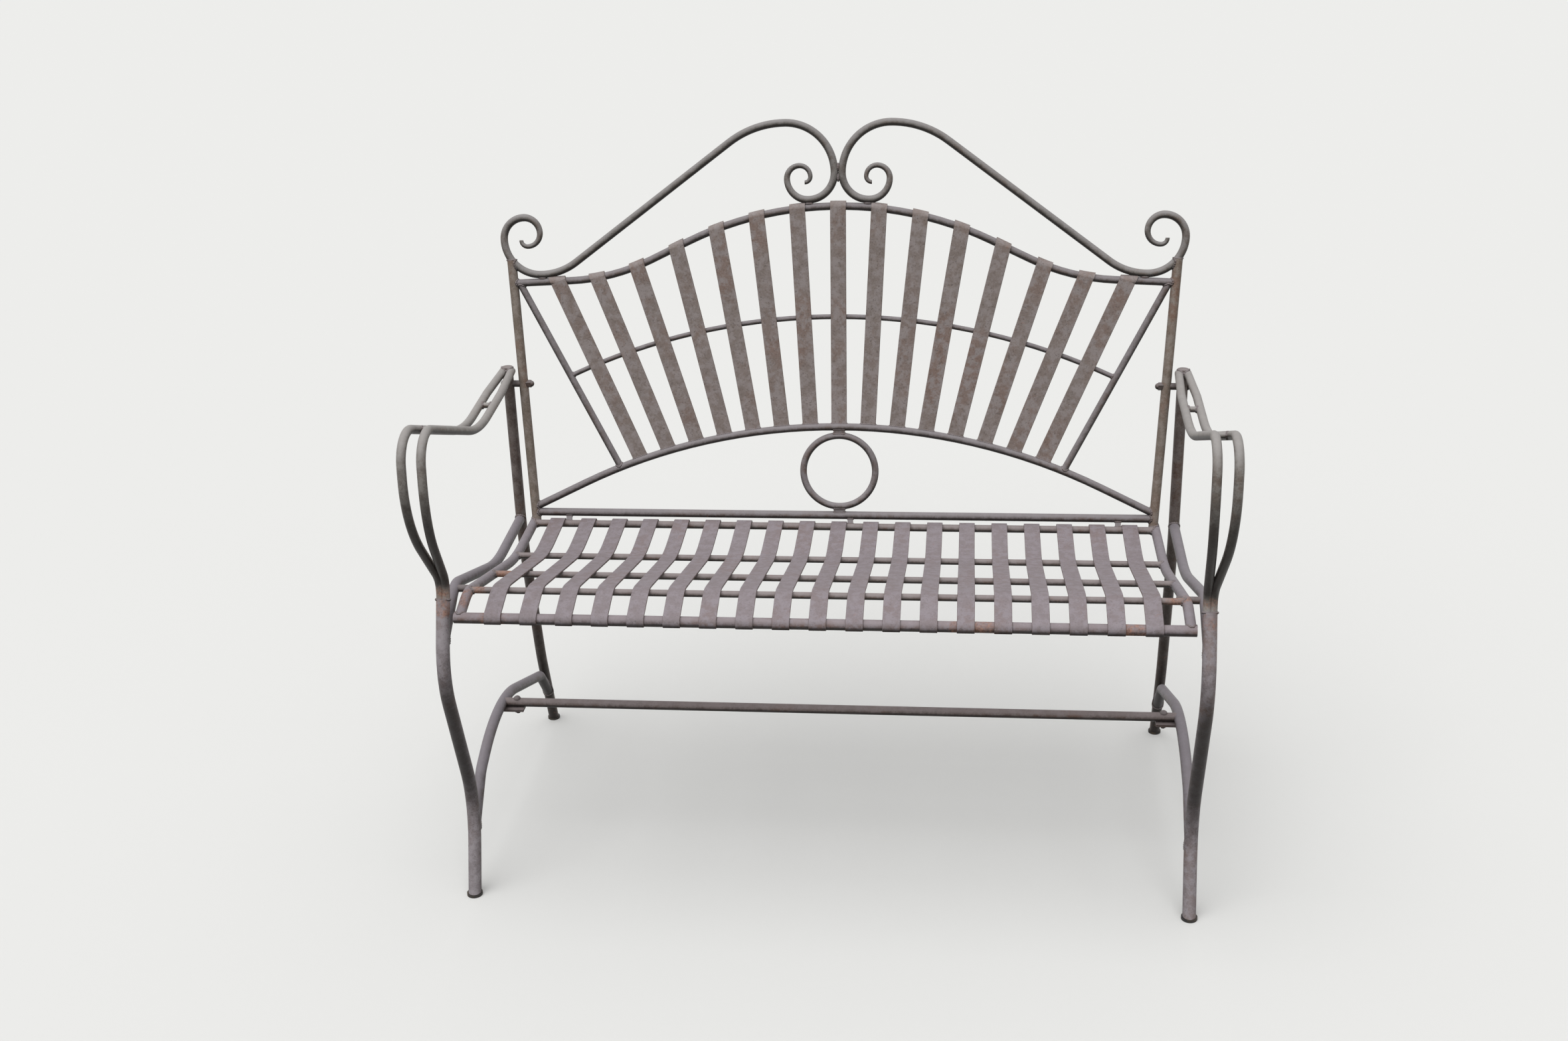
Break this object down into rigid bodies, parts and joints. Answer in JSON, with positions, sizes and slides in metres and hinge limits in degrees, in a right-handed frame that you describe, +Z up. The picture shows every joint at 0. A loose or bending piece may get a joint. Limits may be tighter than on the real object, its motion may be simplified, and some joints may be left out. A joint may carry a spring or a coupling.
{
  "type": "iron garden bench",
  "caption": "Garden bench of bent iron tube and flat bar with a fan back under paired scrolls, a slatted rolled seat and open double-bar arms.",
  "frame": {"origin": "on the floor, under the middle of the bench's box", "axes": "+X along the bench to the right as seen from the front, -Y to the front, +Z up"},
  "size_m": [1.129, 0.6504, 1.092],
  "materials": {
    "tube_paint": "weathered brown-black paint with rust blooms",
    "bar_paint": "weathered brown-black paint with rust blooms",
    "seat_slat_paint": "weathered chalky paint",
    "back_slat_paint": "weathered chalky paint",
    "fastener_paint": "painted over, dull",
    "foot_plug": "dull, weathered"
  },
  "bodies": {
    "root": {"arm_spacers": "bar_paint", "back_bolts": "fastener_paint", "back_bottom_rail": "bar_paint", "back_cap_nuts": "fastener_paint", "back_links": "bar_paint", "back_ring": "bar_paint", "back_slat_centre": "back_slat_paint", "back_slat_pair_1": "back_slat_paint", "back_slat_pair_2": "back_slat_paint", "back_slat_pair_3": "back_slat_paint", "back_slat_pair_4": "back_slat_paint", "back_slat_pair_5": "back_slat_paint", "back_slat_pair_6": "back_slat_paint", "back_slat_pair_7": "back_slat_paint", "back_spacers": "fastener_paint", "fan_low_arch": "bar_paint", "fan_mid_rod": "bar_paint", "fan_top_rail": "bar_paint", "foot_plugs": "foot_plug", "hex_nuts": "fastener_paint", "left_arm_inner": "bar_paint", "left_arm_outer": "bar_paint", "left_back_post": "tube_paint", "left_back_scroll": "bar_paint", "left_fan_diagonal": "bar_paint", "left_front_leg": "tube_paint", "left_leg_arch": "tube_paint", "left_rear_leg": "tube_paint", "left_seat_side_rail": "tube_paint", "left_seat_support": "tube_paint", "right_arm_inner": "bar_paint", "right_arm_outer": "bar_paint", "right_back_post": "tube_paint", "right_back_scroll": "bar_paint", "right_fan_diagonal": "bar_paint", "right_front_leg": "tube_paint", "right_leg_arch": "tube_paint", "right_rear_leg": "tube_paint", "right_seat_side_rail": "tube_paint", "right_seat_support": "tube_paint", "ring_pads": "bar_paint", "seat_bolts": "fastener_paint", "seat_cross_rods": "bar_paint", "seat_front_rail": "tube_paint", "seat_rear_rail": "bar_paint", "seat_slat_centre": "seat_slat_paint", "seat_slat_pair_1": "seat_slat_paint", "seat_slat_pair_2": "seat_slat_paint", "seat_slat_pair_3": "seat_slat_paint", "seat_slat_pair_4": "seat_slat_paint", "seat_slat_pair_5": "seat_slat_paint", "seat_slat_pair_6": "seat_slat_paint", "seat_slat_pair_7": "seat_slat_paint", "seat_slat_pair_8": "seat_slat_paint", "seat_slat_pair_9": "seat_slat_paint", "seat_spacers": "fastener_paint", "stretcher": "tube_paint", "stretcher_bolts": "fastener_paint", "stretcher_tabs": "bar_paint"}
  },
  "joints": []
}
